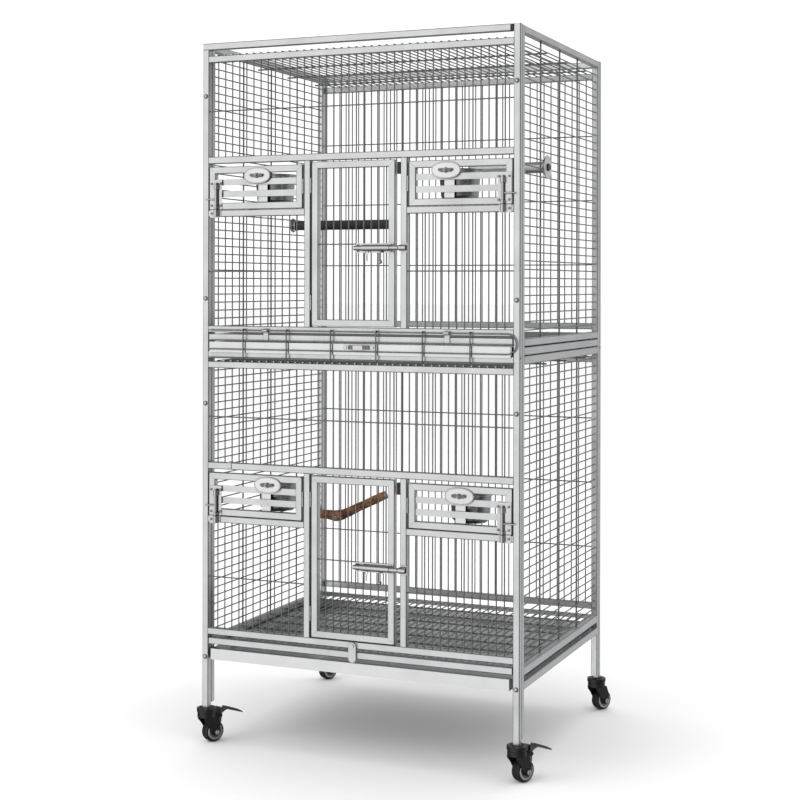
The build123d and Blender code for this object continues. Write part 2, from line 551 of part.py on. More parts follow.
for corner, (sx0, sy0) in CORNERS.items():
    base = Plane(origin=(sx0, sy0, 0), x_dir=(dx, dy, 0), z_dir=(0, 0, 1))
    side = Plane(origin=(sx0, sy0, 0), x_dir=(dx, dy, 0), z_dir=(dy, -dx, 0))   # local x, z in the sketch
    with BuildPart() as fork:
        # swivel housing of two stacked rings, and the neck under the leg
        for z, h, r in ((62.0, 10.6, 22.0), (72.5, 2.6, 20.5), (75.0, 8.0, 23.5), (82.9, 1.7, 13.5)):
            with BuildSketch(base.offset(z)) as ring:
                Circle(r)
            extrude(ring.sketch, amount=h)
        for off in (-18.0, 14.0):
            with BuildSketch(side.offset(off)) as cheek:
                with BuildLine():
                    Polyline((-14.0, 62.5), (19.0, 62.5), (27.0, 42.0), (27.5, 24.0), (22.0, 16.0), (12.0, 16.5),
                             (5.0, 27.0), (-5.0, 44.0), (-14.0, 55.0), close=True)
                make_face()
            extrude(cheek.sketch, amount=4.0)
        with BuildSketch(base.offset(50.0)) as bore:
            Circle(5.1)
        extrude(bore.sketch, amount=40.0, mode=Mode.SUBTRACT)
        # axle with a nut outside each cheek
        with BuildSketch(side.offset(-20.0)) as axle:
            with Locations((TRAIL, WHEEL_R)):
                Circle(4.0)
        extrude(axle.sketch, amount=40.0)
        for off in (-22.5, 18.0):
            with BuildSketch(side.offset(off)) as nut:
                with Locations((TRAIL, WHEEL_R)):
                    RegularPolygon(6.5, 6)
            extrude(nut.sketch, amount=4.5)
        if corner.startswith("front"):
            # ears of the brake pedal
            for off in (-14.5, 11.5):
                with BuildSketch(side.offset(off)) as ear:
                    with Locations((31.0, 62.0)):
                        Circle(4.5)
                    with Locations((23.5, 64.0)):
                        Rectangle(15.0, 5.0)
                extrude(ear.sketch, amount=3.0)
            with BuildSketch(side.offset(-14.0)) as pin:
                with Locations((31.0, 62.0)):
                    Circle(1.9)
            extrude(pin.sketch, amount=28.0)
    fork.part.label = f"{corner}_caster_fork"
    export_step(fork.part, f"parts/{corner}_caster_fork.step")

    with BuildPart() as wheel:
        with BuildSketch(side.offset(-12.0)) as rim:
            with Locations((TRAIL, WHEEL_R)):
                Circle(WHEEL_R)
        extrude(rim.sketch, amount=24.0)
        fillet(wheel.edges(), radius=5.0)
        for off in (-13.2, 12.0):
            with BuildSketch(side.offset(off)) as boss:
                with Locations((TRAIL, WHEEL_R)):
                    Circle(8.0)
            extrude(boss.sketch, amount=1.2)
        with BuildSketch(side.offset(-15.0)) as eye:
            with Locations((TRAIL, WHEEL_R)):
                Circle(4.05)
        extrude(eye.sketch, amount=30.0, mode=Mode.SUBTRACT)
    wheel.part.label = f"{corner}_caster_wheel"
    export_step(wheel.part, f"parts/{corner}_caster_wheel.step")

    if corner.startswith("front"):
        with BuildPart() as pedal:
            with BuildSketch(side.offset(-10.2)) as lever:
                with BuildLine():
                    Polyline((27.0, 58.0), (27.0, 66.0), (30.5, 70.0), (30.5, 78.5), (32.5, 79.5), (48.0, 74.5),
                             (50.0, 78.5), (92.0, 62.5), (95.0, 59.5), (93.5, 58.3), (52.0, 72.5), (45.0, 70.5),
                             (37.0, 66.0), (35.5, 56.0), (35.0, 43.3), (29.5, 47.4), close=True)
                make_face()
            extrude(lever.sketch, amount=20.4)
            with BuildSketch(side.offset(-12.0)) as eye:
                with Locations((31.0, 62.0)):
                    Circle(1.96)
            extrude(eye.sketch, amount=24.0, mode=Mode.SUBTRACT)
        pedal.part.label = f"{corner}_brake_pedal"
        export_step(pedal.part, f"parts/{corner}_brake_pedal.step")
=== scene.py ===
import math
import random

import bmesh
import bpy
from mathutils import Matrix, Vector, noise


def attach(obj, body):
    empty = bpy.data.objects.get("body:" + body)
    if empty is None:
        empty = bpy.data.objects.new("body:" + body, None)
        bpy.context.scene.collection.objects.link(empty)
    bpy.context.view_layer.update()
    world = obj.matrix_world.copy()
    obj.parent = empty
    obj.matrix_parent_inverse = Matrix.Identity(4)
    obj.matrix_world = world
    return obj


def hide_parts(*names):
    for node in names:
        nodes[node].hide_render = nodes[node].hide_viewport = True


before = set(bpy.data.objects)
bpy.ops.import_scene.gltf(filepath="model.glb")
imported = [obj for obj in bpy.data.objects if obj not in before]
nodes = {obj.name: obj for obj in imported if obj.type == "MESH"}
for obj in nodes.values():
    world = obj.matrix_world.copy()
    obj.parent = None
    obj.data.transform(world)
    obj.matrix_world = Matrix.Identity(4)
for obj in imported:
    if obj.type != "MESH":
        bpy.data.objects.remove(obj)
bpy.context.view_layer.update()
random.seed(7)
MM = 0.001

# ------------------------------------------------------------------ camera
cam_data = bpy.data.cameras.new("camera")
cam = bpy.data.objects.new("camera", cam_data)
bpy.context.scene.collection.objects.link(cam)
cam_data.sensor_width = 36.0
cam_data.lens = 70.16
cam_data.shift_y = -0.1438
cam_data.clip_start, cam_data.clip_end = 0.05, 100.0
cam_data.dof.use_dof = False
yaw, roll = math.radians(22.833), math.radians(0.1)
cam.matrix_world = (Matrix.Translation((1.487, -3.593, 1.098)) @ Matrix.Rotation(yaw, 4, "Z")
                    @ Matrix.Rotation(math.pi / 2, 4, "X") @ Matrix.Rotation(roll, 4, "Z"))
bpy.context.scene.camera = cam
bpy.context.scene.view_settings.view_transform = "Standard"


# --------------------------------------------------------------- materials
def new_material(name):
    m = bpy.data.materials.new(name)
    m.use_nodes = True
    nt = m.node_tree
    nt.nodes.clear()
    out = nt.nodes.new("ShaderNodeOutputMaterial")
    bsdf = nt.nodes.new("ShaderNodeBsdfPrincipled")
    nt.links.new(bsdf.outputs["BSDF"], out.inputs["Surface"])
    return m, nt, bsdf


def coords(nt, scale=(1, 1, 1)):
    tc = nt.nodes.new("ShaderNodeTexCoord")
    mp = nt.nodes.new("ShaderNodeMapping")
    mp.inputs["Scale"].default_value = scale
    nt.links.new(tc.outputs["Object"], mp.inputs["Vector"])
    return mp.outputs["Vector"]


def noise_node(nt, vector, scale, detail=3.0, rough=0.55):
    n = nt.nodes.new("ShaderNodeTexNoise")
    n.inputs["Scale"].default_value = scale
    n.inputs["Detail"].default_value = detail
    n.inputs["Roughness"].default_value = rough
    nt.links.new(vector, n.inputs["Vector"])
    return n.outputs["Fac"]


def ramp(nt, fac, stops):
    r = nt.nodes.new("ShaderNodeValToRGB")
    cr = r.color_ramp
    while len(cr.elements) > 1:
        cr.elements.remove(cr.elements[-1])
    cr.elements[0].position = stops[0][0]
    cr.elements[0].color = (*stops[0][1], 1)
    for p, c in stops[1:]:
        e = cr.elements.new(p)
        e.color = (*c, 1)
    nt.links.new(fac, r.inputs["Fac"])
    return r.outputs["Color"]


def map_range(nt, value, a, b, lo, hi):
    n = nt.nodes.new("ShaderNodeMapRange")
    n.inputs["From Min"].default_value = a
    n.inputs["From Max"].default_value = b
    n.inputs["To Min"].default_value = lo
    n.inputs["To Max"].default_value = hi
    nt.links.new(value, n.inputs["Value"])
    return n.outputs["Result"]


def multiply(nt, a, b):
    n = nt.nodes.new("ShaderNodeMix")
    n.data_type = "RGBA"
    n.blend_type = "MULTIPLY"
    n.inputs["Factor"].default_value = 1.0
    nt.links.new(a, n.inputs["A"])
    nt.links.new(b, n.inputs["B"])
    return n.outputs["Result"]


def bump(nt, height, bsdf, strength, distance):
    n = nt.nodes.new("ShaderNodeBump")
    n.inputs["Strength"].default_value = strength
    n.inputs["Distance"].default_value = distance
    nt.links.new(height, n.inputs["Height"])
    nt.links.new(n.outputs["Normal"], bsdf.inputs["Normal"])
    return n


def crevice_painted_shade(nt, distance=0.012, dark=0.25, start=0.25, end=0.85):
    """Painted shade: darkens the base colour by ambient occlusion where members meet."""
    ao = nt.nodes.new("ShaderNodeAmbientOcclusion")
    ao.samples = 6
    ao.inputs["Distance"].default_value = distance
    return ramp(nt, ao.outputs["AO"], [(start, (dark, dark, dark)), (end, (1, 1, 1))])


def metal(name, tone, r_lo, r_hi, tint=(1.0, 1.0, 1.0), ao_dist=0.012, ao_dark=0.3, brush=(1, 1, 1), var=0.08):
    m, nt, bsdf = new_material(name)
    bsdf.inputs["Metallic"].default_value = 1.0
    cloud = noise_node(nt, coords(nt), 9.0, 4.0)
    lo, hi = tone * (1 - var), min(1.0, tone * (1 + var))
    colour = ramp(nt, cloud, [(0.3, tuple(lo * t for t in tint)), (0.7, tuple(hi * t for t in tint))])
    # painted shade: the base colour is darkened by ambient occlusion near other members
    colour = multiply(nt, colour, crevice_painted_shade(nt, ao_dist, ao_dark))
    nt.links.new(colour, bsdf.inputs["Base Color"])
    fine = noise_node(nt, coords(nt, brush), 420.0, 4.0, 0.65)
    worn = noise_node(nt, coords(nt), 28.0, 3.0)
    mixed = nt.nodes.new("ShaderNodeMath")
    mixed.operation = "ADD"
    nt.links.new(fine, mixed.inputs[0])
    nt.links.new(worn, mixed.inputs[1])
    nt.links.new(map_range(nt, mixed.outputs[0], 0.7, 1.3, r_lo, r_hi), bsdf.inputs["Roughness"])
    bump(nt, fine, bsdf, 0.12, 0.0002)
    return m


STEEL = metal("frame_steel", 0.8, 0.26, 0.42, (0.985, 0.995, 1.0))
WIRE_STEEL = metal("wire_steel", 0.31, 0.24, 0.38, (0.99, 0.995, 1.0), brush=(1, 1, 0.05))
SHEET = metal("sheet_steel", 0.86, 0.16, 0.26, (0.99, 0.995, 1.0), ao_dist=0.02, ao_dark=0.35, brush=(0.04, 1, 1), var=0.05)
FITTING = metal("fittings", 0.74, 0.14, 0.26, (0.995, 0.995, 1.0), ao_dist=0.006, ao_dark=0.16)
CUP = metal("cup_steel", 0.55, 0.16, 0.3, (0.98, 0.99, 1.0), ao_dist=0.03, ao_dark=0.12, brush=(1, 1, 0.05))
DISC = metal("disc_steel", 0.93, 0.3, 0.42, (1.0, 1.0, 1.0), ao_dist=0.004, ao_dark=0.3)
DARK_STEEL = metal("dark_steel", 0.22, 0.25, 0.42, (1.0, 1.0, 1.02), ao_dist=0.004, ao_dark=0.3)
PERCH = metal("perch_steel", 0.95, 0.3, 0.44, (1.0, 1.0, 1.0), ao_dist=0.006, ao_dark=0.55, brush=(0.05, 1, 1), var=0.03)


def plastic(name, tone, r_lo, r_hi, grain=900.0, depth=0.00015):
    m, nt, bsdf = new_material(name)
    bsdf.inputs["Specular IOR Level"].default_value = 0.5
    cloud = noise_node(nt, coords(nt), 30.0, 3.0)
    colour = ramp(nt, cloud, [(0.3, tuple(t * 0.8 for t in tone)), (0.7, tuple(t * 1.25 for t in tone))])
    nt.links.new(colour, bsdf.inputs["Base Color"])
    fine = noise_node(nt, coords(nt), grain, 3.0, 0.6)
    nt.links.new(map_range(nt, fine, 0.3, 0.7, r_lo, r_hi), bsdf.inputs["Roughness"])
    bump(nt, fine, bsdf, 0.35, depth)
    return m


BLACK = plastic("black_plastic", (0.009, 0.009, 0.01), 0.22, 0.4)
TREAD = plastic("tread", (0.011, 0.011, 0.012), 0.42, 0.6, 600.0, 0.0003)
RIM = metal("rim_grey", 0.8, 0.25, 0.4, ao_dist=0.004)


def wood(name, dark, light, along, ring=26.0, rough=(0.5, 0.7)):
    """along is the mapping scale that stretches the grain."""
    m, nt, bsdf = new_material(name)
    v = coords(nt, along)
    grain = noise_node(nt, v, ring, 6.0, 0.65)
    streak = noise_node(nt, v, ring * 5, 3.0, 0.6)
    colour = ramp(nt, grain, [(0.32, dark), (0.5, tuple((a + b) / 2 for a, b in zip(dark, light))), (0.68, light)])
    shade = ramp(nt, streak, [(0.35, (0.62, 0.62, 0.62)), (0.6, (1, 1, 1))])
    nt.links.new(multiply(nt, colour, shade), bsdf.inputs["Base Color"])
    nt.links.new(map_range(nt, streak, 0.3, 0.7, *rough), bsdf.inputs["Roughness"])
    bump(nt, streak, bsdf, 0.5, 0.0006)
    return m


DOWEL = wood("dark_wood", (0.022, 0.019, 0.017), (0.07, 0.062, 0.056), (0.09, 1, 1), 60.0)


def bark():
    m, nt, bsdf = new_material("bark")
    v = coords(nt, (1.0, 1.0, 1.0))
    plates = nt.nodes.new("ShaderNodeTexVoronoi")
    plates.feature = "DISTANCE_TO_EDGE"
    plates.inputs["Scale"].default_value = 95.0
    nt.links.new(v, plates.inputs["Vector"])
    rough = noise_node(nt, v, 150.0, 6.0, 0.7)
    broad = noise_node(nt, v, 22.0, 3.0)
    cracks = ramp(nt, plates.outputs["Distance"], [(0.0, (0.3, 0.3, 0.3)), (0.14, (1, 1, 1))])
    colour = ramp(nt, broad, [(0.36, (0.11, 0.038, 0.022)), (0.5, (0.33, 0.145, 0.068)), (0.66, (0.56, 0.32, 0.165))])
    fleck = ramp(nt, rough, [(0.35, (0.5, 0.42, 0.38)), (0.62, (1.0, 1.0, 1.0))])
    nt.links.new(multiply(nt, multiply(nt, colour, fleck), cracks), bsdf.inputs["Base Color"])
    nt.links.new(map_range(nt, rough, 0.3, 0.7, 0.65, 0.95), bsdf.inputs["Roughness"])
    h = multiply(nt, cracks, ramp(nt, rough, [(0.2, (0.3,) * 3), (0.8, (1,) * 3)]))
    bump(nt, h, bsdf, 0.8, 0.0016)
    return m


BARK = bark()
CUT_WOOD = wood("cut_wood", (0.3, 0.2, 0.11), (0.55, 0.42, 0.27), (1, 1, 1), 160.0)


def dress(node, *mats):
    o = nodes[node]
    o.data.materials.clear()
    for m in mats:
        o.data.materials.append(m)


for n in nodes:
    if "fork" in n or n in ("black_plugs", "caster_stems"):
        dress(n, BLACK)
    elif n.endswith("_wheel"):
        dress(n, TREAD)
    elif n.endswith("_tray"):
        dress(n, SHEET)
    elif n.endswith("_cup"):
        dress(n, CUP)
    elif n in ("wire_guard",):
        dress(n, WIRE_STEEL)
    elif n.endswith("_roof") or n.endswith("_side_panel"):
        dress(n, STEEL)
    elif n == "dowel_perch":
        dress(n, DOWEL)
    elif n == "bar_perch":
        dress(n, PERCH)
    elif n == "perch_fittings":
        dress(n, DISC)
    elif n in ("frame_hinges", "bolt_keepers", "assembly_bolts", "stacking_pins", "tray_handle", "turn_tab") \
            or "hardware" in n or "bolt" in n:
        dress(n, FITTING)
    elif "pedal" in n:
        dress(n, DARK_STEEL)
    else:
        dress(n, STEEL)


def islands(me):
    """Connected surfaces of a mesh: for each polygon the number of its surface."""
    parent = list(range(len(me.vertices)))

    def find(i):
        while parent[i] != i:
            parent[i] = parent[parent[i]]
            i = parent[i]
        return i
    for poly in me.polygons:
        vs = poly.vertices
        a = find(vs[0])
        for v in vs[1:]:
            b = find(v)
            if b != a:
                parent[b] = a
    return [find(poly.vertices[0]) for poly in me.polygons]


def finish_members(node):
    """Bars and rods get the drawn wire's finish, and the rounded edges of tube a polished finish whose darker base
    colour is painted shade for the dark lines along the edges.
    """
    me = nodes[node].data
    label = islands(me)
    lo, hi = {}, {}
    for poly, k in zip(me.polygons, label):
        for v in poly.vertices:
            c = me.vertices[v].co
            if k not in lo:
                lo[k], hi[k] = list(c), list(c)
            else:
                for i in range(3):
                    lo[k][i] = min(lo[k][i], c[i])
                    hi[k][i] = max(hi[k][i], c[i])
    kind = {}
    for k in lo:
        e = sorted(hi[k][i] - lo[k][i] for i in range(3))
        kind[k] = 2 if e[1] < 0.0023 and e[0] > 0.0005 else (1 if e[1] < 0.0043 and e[0] > 0.0025 else 0)
    for m in (WIRE_STEEL, SHADED_EDGE_STEEL):
        me.materials.append(m)
    for poly, k in zip(me.polygons, label):
        poly.material_index = kind[k]


# painted shade: a darker copy of the frame steel for the rounded tube edges
SHADED_EDGE_STEEL = metal("edge_steel_painted_shade", 0.5, 0.2, 0.34, (0.99, 0.995, 1.0))
for n in nodes:
    if n.endswith(("_panel", "_roof", "_grate", "_door")):
        finish_members(n)


# --------------------------------------------------------------- detail pieces
class Bag:
    """Small parts of one body and one material, gathered into one mesh."""

    def __init__(self):
        self.v, self.f = [], []

    def add(self, verts, faces, mat=Matrix.Identity(4)):
        n = len(self.v)
        self.v += [mat @ Vector(p) for p in verts]
        self.f += [tuple(i + n for i in f) for f in faces]


bags = {}


def bag(name, body, mat, slot):
    key = name
    if key not in bags:
        bags[key] = (Bag(), body, mat, slot)
    return bags[key][0]


def frame_at(p, z_dir, x_dir=None):
    """Matrix that puts local Z on z_dir at p, all in mm."""
    z = Vector(z_dir).normalized()
    x = Vector(x_dir) if x_dir is not None else (Vector((0, 0, 1)).cross(z) if abs(z.z) < 0.9 else Vector((1, 0, 0)))
    x = (x - z * x.dot(z)).normalized()
    y = z.cross(x)
    return Matrix(((x.x, y.x, z.x, p[0]), (x.y, y.y, z.y, p[1]), (x.z, y.z, z.z, p[2]), (0, 0, 0, 1)))


def lathe(profile, seg=28):
    """profile is (r, h) pairs from the axis out and back to the axis."""
    verts, faces, rings = [], [], []
    for r, h in profile:
        if r < 1e-6:
            verts.append((0, 0, h))
            rings.append([len(verts) - 1])
        else:
            start = len(verts)
            verts += [(r * math.cos(2 * math.pi * i / seg), r * math.sin(2 * math.pi * i / seg), h) for i in range(seg)]
            rings.append(list(range(start, start + seg)))
    for a, b in zip(rings, rings[1:]):
        for i in range(seg):
            j = (i + 1) % seg
            if len(a) == 1 and len(b) > 1:
                faces.append((a[0], b[i], b[j]))
            elif len(b) == 1 and len(a) > 1:
                faces.append((a[i], b[0], a[j]))
            elif len(a) > 1:
                faces.append((a[i], b[i], b[j], a[j]))
    return verts, faces


def closed_lathe(profile, seg=32):
    """a ring: the profile closes on itself and stays off the axis."""
    verts, faces = [], []
    n = len(profile)
    for i in range(seg):
        c, s = math.cos(2 * math.pi * i / seg), math.sin(2 * math.pi * i / seg)
        verts += [(r * c, r * s, h) for r, h in profile]
    for i in range(seg):
        for k in range(n):
            a, b = i * n + k, i * n + (k + 1) % n
            c, d = ((i + 1) % seg) * n + (k + 1) % n, ((i + 1) % seg) * n + k
            faces.append((a, d, c, b))
    return verts, faces


def screw_head(r, h, seg=36, rings=9):
    """Domed head with a cross recess, standing on z = 0."""
    verts, faces = [], []
    for k in range(rings + 1):
        rr = r * k / rings
        for i in range(seg):
            a = 2 * math.pi * i / seg
            x, y = rr * math.cos(a), rr * math.sin(a)
            z = h * math.sqrt(max(0.0, 1 - (rr / r) ** 2) * 0.75 + 0.25)
            if rr < 0.62 * r and min(abs(x), abs(y)) < 0.13 * r:
                z -= 0.55 * h
            if k == rings:
                z = 0.35 * h
            verts.append((x, y, z))
    base = len(verts)
    verts += [(r * math.cos(2 * math.pi * i / seg), r * math.sin(2 * math.pi * i / seg), 0) for i in range(seg)]
    for k in range(rings):
        for i in range(seg):
            j = (i + 1) % seg
            faces.append((k * seg + i, (k + 1) * seg + i, (k + 1) * seg + j, k * seg + j))
    for i in range(seg):
        j = (i + 1) % seg
        faces.append((rings * seg + i, base + i, base + j, rings * seg + j))
    return verts, faces


def prism(points, h, bevel=0.4):
    """Plate with the given outline and softened rims, from z = 0 to h."""
    n = len(points)
    cx, cy = sum(p[0] for p in points) / n, sum(p[1] for p in points) / n

    def inset(d):
        out = []
        for x, y in points:
            l = math.hypot(x - cx, y - cy) or 1.0
            out.append((x - (x - cx) / l * d, y - (y - cy) / l * d))
        return out
    levels = [(inset(bevel), 0.0), (points, bevel), (points, h - bevel), (inset(bevel), h)]
    verts = [(x, y, z) for pts, z in levels for x, y in pts]
    faces = []
    for k in range(3):
        for i in range(n):
            j = (i + 1) % n
            faces.append((k * n + i, k * n + j, (k + 1) * n + j, (k + 1) * n + i))
    faces.append(tuple(range(n - 1, -1, -1)))
    faces.append(tuple(3 * n + i for i in range(n)))
    return verts, faces


def sweep(points, r, seg=10):
    """Round wire along a path, ends closed."""
    pts = [Vector(p) for p in points]
    verts, faces = [], []
    up = None
    for i, p in enumerate(pts):
        t = (pts[min(i + 1, len(pts) - 1)] - pts[max(i - 1, 0)]).normalized()
        if up is None:
            up = t.orthogonal().normalized()
        up = (up - t * up.dot(t)).normalized()
        side = t.cross(up)
        rr = r if not callable(r) else r(i / (len(pts) - 1))
        verts += [tuple(p + up * rr * math.cos(2 * math.pi * k / seg) + side * rr * math.sin(2 * math.pi * k / seg))
                  for k in range(seg)]
    for i in range(len(pts) - 1):
        for k in range(seg):
            l = (k + 1) % seg
            faces.append((i * seg + k, i * seg + l, (i + 1) * seg + l, (i + 1) * seg + k))
    faces.append(tuple(range(seg - 1, -1, -1)))
    faces.append(tuple((len(pts) - 1) * seg + k for k in range(seg)))
    return verts, faces


def arc(centre, a_vec, b_vec, r, t0, t1, n=12):
    """Points on a circle spanned by two unit vectors."""
    c, a, b = Vector(centre), Vector(a_vec), Vector(b_vec)
    out = []
    for i in range(n + 1):
        t = math.radians(t0 + (t1 - t0) * i / n)
        out.append(tuple(c + a * r * math.cos(t) + b * r * math.sin(t)))
    return out


YF = -330.0
TIERS = {"upper": dict(feeder=1277.0, latch=1182.4, rail4=1260.0, door=(1001.5, 1384.0)),
         "lower": dict(feeder=547.0, latch=451.0, rail4=530.0, door=(278.5, 654.0))}
CLAMP_X = {"upper_left": -253.0, "upper_right": 225.0, "lower_left": -224.0, "lower_right": 258.0}
CUP_X = {"upper_left": -238.0, "upper_right": 234.0, "lower_left": -228.0, "lower_right": 262.0}
FRONT = (0, -1, 0)

for tier, q in TIERS.items():
    f0, lz = q["feeder"], q["latch"]
    # screws of the main bolt and the hinge leaves, split pin under the barrel
    b = bag(f"{tier}_door_screws", f"{tier}_door", FITTING, "fittings")
    for dz in (6.5, -6.5):
        b.add(*screw_head(2.9, 1.9), frame_at((92.5, YF - 2.2, lz + dz), FRONT))
        b.add(*screw_head(2.9, 1.9), frame_at((9.5, YF - 1.5, lz + dz), FRONT))
    p = bag(f"{tier}_split_pin", f"{tier}_door", FITTING, "fittings")
    eye = arc((35.0, YF - 9.0, lz - 10.5), (1, 0, 0), (0, 0, 1), 3.4, -70, 250, 18)
    p.add(*sweep([(36.0, YF - 9.0, lz - 31.0), (36.2, YF - 9.0, lz - 18.0)] + eye
                 + [(33.8, YF - 9.0, lz - 18.0), (33.6, YF - 9.0, lz - 29.0)], 0.8))
    # lever collar on the bolt
    c = bag(f"{tier}_bolt_collar", f"{tier}_door_bolt", FITTING, "fittings")
    c.add(*closed_lathe([(2.0, 0), (2.9, 0.4), (2.9, 2.4), (2.0, 2.8)], 24), frame_at((68.0, YF - 8.5, lz - 9.6), (0, 0, 1)))
    for side, sx in (("left", -1), ("right", 1)):
        key = f"{tier}_{side}"
        body = f"{key}_feeder"
        px, pz = CLAMP_X[key], f0 + 79.0
        s = bag(f"{key}_feeder_screws", body, FITTING, "fittings")
        for ox in (-10.5, 14.0):
            for dz in (10.0, 62.0):
                s.add(*screw_head(2.9, 2.0), frame_at((sx * 361.0 + sx * ox, YF - 2.2, f0 + dz), FRONT))
        # plain bright plate over the clamp, with a raised rim
        plate, rim = [], []
        for i in range(72):
            a = 2 * math.pi * i / 72
            c, z = math.cos(a), math.sin(a)
            plate.append((35.0 * math.copysign(abs(c) ** 0.86, c), 19.0 * math.copysign(abs(z) ** 0.92, z)))
            rim.append((px + 33.4 * math.copysign(abs(c) ** 0.86, c), YF - 2.9, pz + 17.4 * math.copysign(abs(z) ** 0.92, z)))
        d = bag(f"{key}_clamp_plate", body, DISC, "fittings")
        d.add(*prism(plate, 1.2, 0.35), frame_at((px, YF - 1.65, pz), FRONT, (1, 0, 0)))
        d.add(*sweep(rim + [rim[0]], 0.75, 8))
        # wing nut: hub and two wings that cover the plain ones
        w = bag(f"{key}_wing_nut", body, DARK_STEEL, "fittings")
        w.add(*lathe([(0, 12.3), (1.6, 12.2), (2.6, 11.4), (2.7, 9.3), (4.2, 9.2), (5.2, 6.2), (6.2, 2.9), (0, 2.8)], 28),
              frame_at((px, YF, pz), FRONT))
        for m in (-1, 1):
            outline = [(2.8, -3.4), (8.0, -3.9), (13.4, -3.5), (17.0, -0.6), (17.6, 1.6), (15.4, 3.9), (12.6, 4.2),
                       (9.2, 3.8), (6.0, 3.6), (2.8, 3.5)]
            pts = [(m * x, z) for x, z in outline]
            if m < 0:
                pts = pts[::-1]
            w.add(*prism(pts, 2.6, 0.7), frame_at((px, YF - 5.2, pz), FRONT, (1, 0, 0)))
        # strap that hangs from the arm in front of the cup
        t = bag(f"{key}_cup_strap", body, DISC, "fittings")
        sxx = CUP_X[key] - 4.0
        t.add(*prism([(-11, -62.0), (11, -62.0), (12, -60.5), (12, -1.0), (11, 0), (-11, 0), (-12, -1.0), (-12, -60.5)], 1.4, 0.3),
              frame_at((sxx, YF + 8.6, f0 + 79.0), FRONT, (1, 0, 0)))
        # bead round the cup ring
        cx = CUP_X[key]
        s.add(*closed_lathe([(50.4 + 0.9 * math.cos(t), 3.5 + 0.9 * math.sin(t)) for t in
                             [2 * math.pi * i / 8 for i in range(8)]], 56), frame_at((cx, YF + 64.0, f0 + 75.0), (0, 0, 1)))
        k = bag(f"{key}_keeper_screw", "cage", FITTING, "fittings")
        k.add(*screw_head(2.9, 2.0), frame_at((sx * 375.0, YF - 2.2, q["rail4"] + 8.0), FRONT))

# hooked tops of the guard's upright wires
GY = YF - 6.0
h = bag("guard_hooks", "wire_guard", WIRE_STEEL, "frame_steel")
for x in (-285.75, -171.45, -57.15, 57.15, 171.45, 285.75):
    h.add(*sweep([(x, GY - 3.05, 985.0)] + arc((x, GY, 990.0), (0, -1, 0), (0, 0, 1), 3.05, 0, 200, 12), 1.5))

# locating buttons under the seam between the tiers
s = bag("tier_buttons", "cage", FITTING, "fittings")
for sx in (-1, 1):
    s.add(*lathe([(0, 1.6), (1.3, 1.45), (2.4, 0.9), (3.0, 0.0)], 24), frame_at((sx * 400.0, -325.0, 937.0), (sx, 0, 0)))
    s.add(*lathe([(0, 1.6), (1.3, 1.45), (2.4, 0.9), (3.0, 0.0)], 24), frame_at((sx * 400.0, 322.0, 937.0), (sx, 0, 0)))

# spring clip over the lower middle rail
s = bag("rail_clip", "cage", FITTING, "fittings")
strip = [(-331.6, 660.0), (-331.2, 664.0), (-331.0, 671.0), (-330.6, 674.6), (-326.0, 675.4), (-318.0, 675.2)]
for a, b in zip(strip, strip[1:]):
    ya, za, yb_, zb = *a, *b
    vs = []
    for x in (-331.0, -321.4):
        vs += [(x, ya, za), (x, yb_, zb), (x, yb_ + 0.2, zb + 0.9), (x, ya - 0.9, za + 0.2)]
    s.add(vs, [(0, 1, 2, 3), (7, 6, 5, 4), (0, 4, 5, 1), (1, 5, 6, 2), (2, 6, 7, 3), (3, 7, 4, 0)])

# nuts on the perch studs
for name, sx, y, z in (("dowel", -1, 141.0, 1256.6), ("bar", 1, -115.0, 1372.5), ("branch", -1, 275.0, 471.6)):
    s = bag(f"{name}_perch_nut", "cage", DARK_STEEL, "fittings")
    hexa = [(7.6 * math.cos(math.radians(60 * i + 30)), 7.6 * math.sin(math.radians(60 * i + 30))) for i in range(6)]
    s.add(*prism(hexa, 5.2, 0.5), frame_at((sx * 396.0, y, z), (sx, 0, 0)))
    s.add(*closed_lathe([(7.0, 0), (9.6, 0), (9.6, 0.9), (7.0, 0.9)], 32), frame_at((sx * 396.0, y, z), (sx, 0, 0)))

